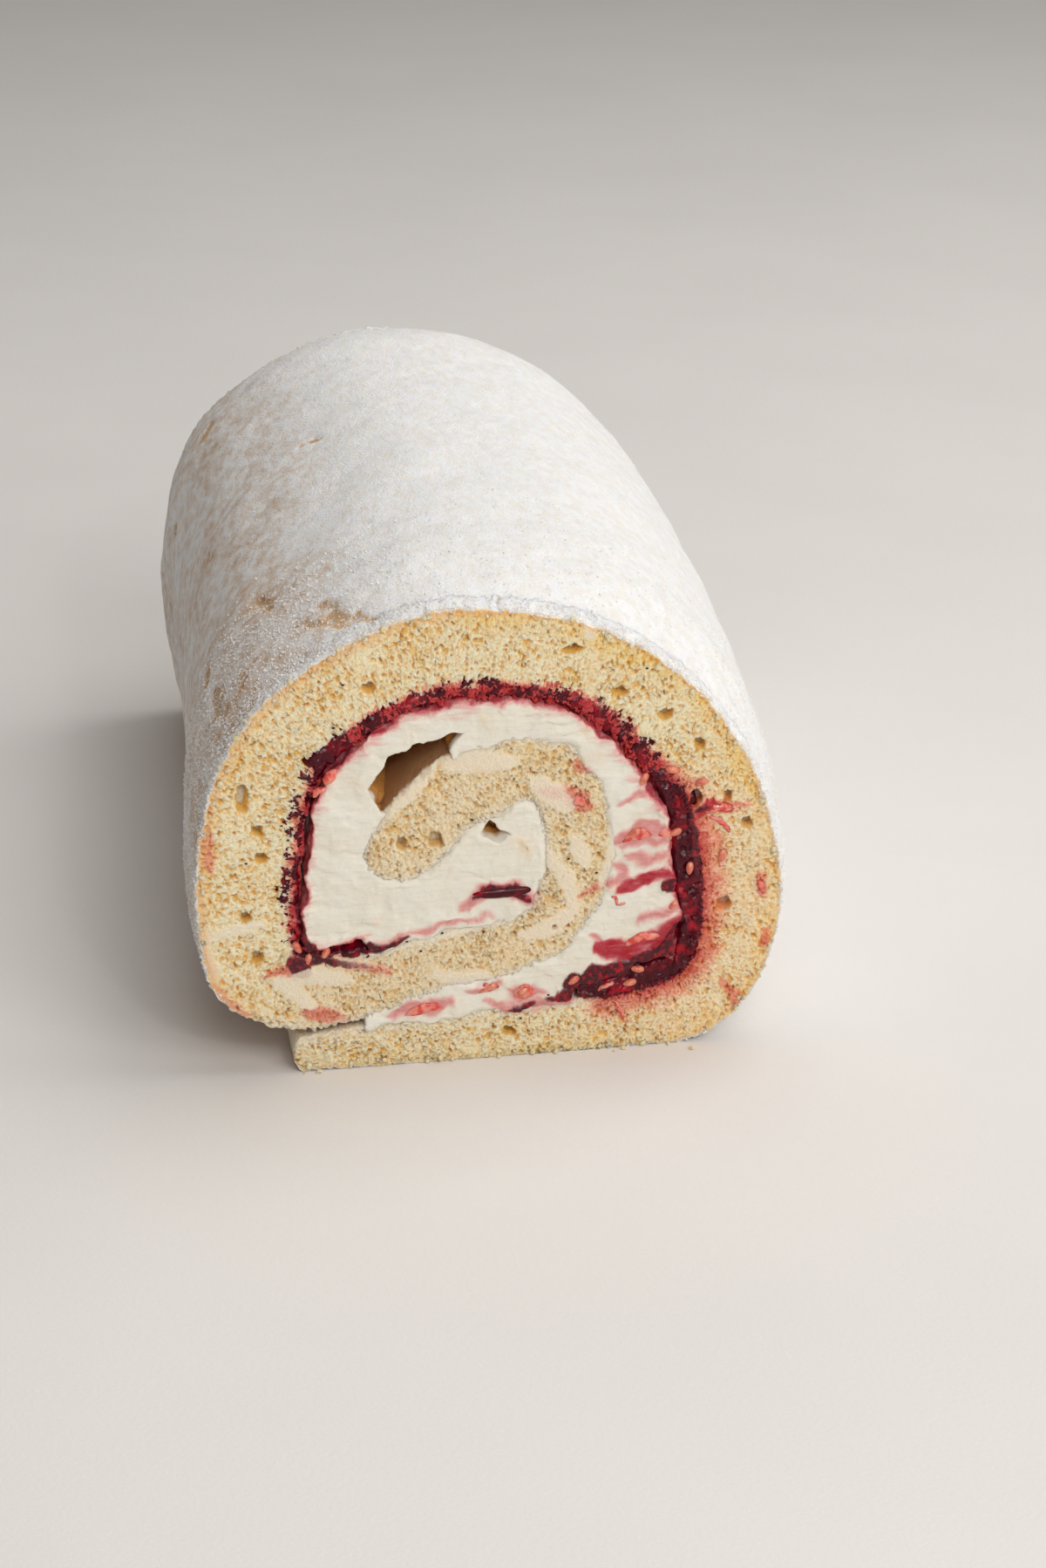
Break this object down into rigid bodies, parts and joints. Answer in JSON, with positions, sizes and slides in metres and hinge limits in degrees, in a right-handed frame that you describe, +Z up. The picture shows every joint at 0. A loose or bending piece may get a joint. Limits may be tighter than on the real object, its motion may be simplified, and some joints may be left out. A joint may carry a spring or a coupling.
{
  "type": "swiss roll cake",
  "caption": "Swiss roll cake: a sheet of sponge rolled around whipped cream and raspberry jam, dusted with icing sugar, cut at both ends.",
  "frame": {"origin": "middle of the footprint, on the surface that the roll rests on", "axes": "+Z up, +Y along the roll and away from the cut with the open hollows, +X to the right as one looks at that cut"},
  "size_m": [0.1026, 0.1884, 0.0813],
  "materials": {
    "sponge": "pale straw sponge crumb with open pores, a thin tan baked skin and a dusting of icing sugar",
    "cream": "off-white whipped cream with a soft satin sheen and fine drag lines of the knife",
    "jam": "dark red, glossy raspberry jam with whole seeds",
    "seed": "pale orange-red raspberry seeds, wet with jam",
    "icing_sugar": "fine white powder and small clumps of icing sugar"
  },
  "bodies": {
    "root": {"sponge": "sponge", "jam": "jam", "jam_streak": "jam", "cream": "cream"}
  },
  "joints": []
}
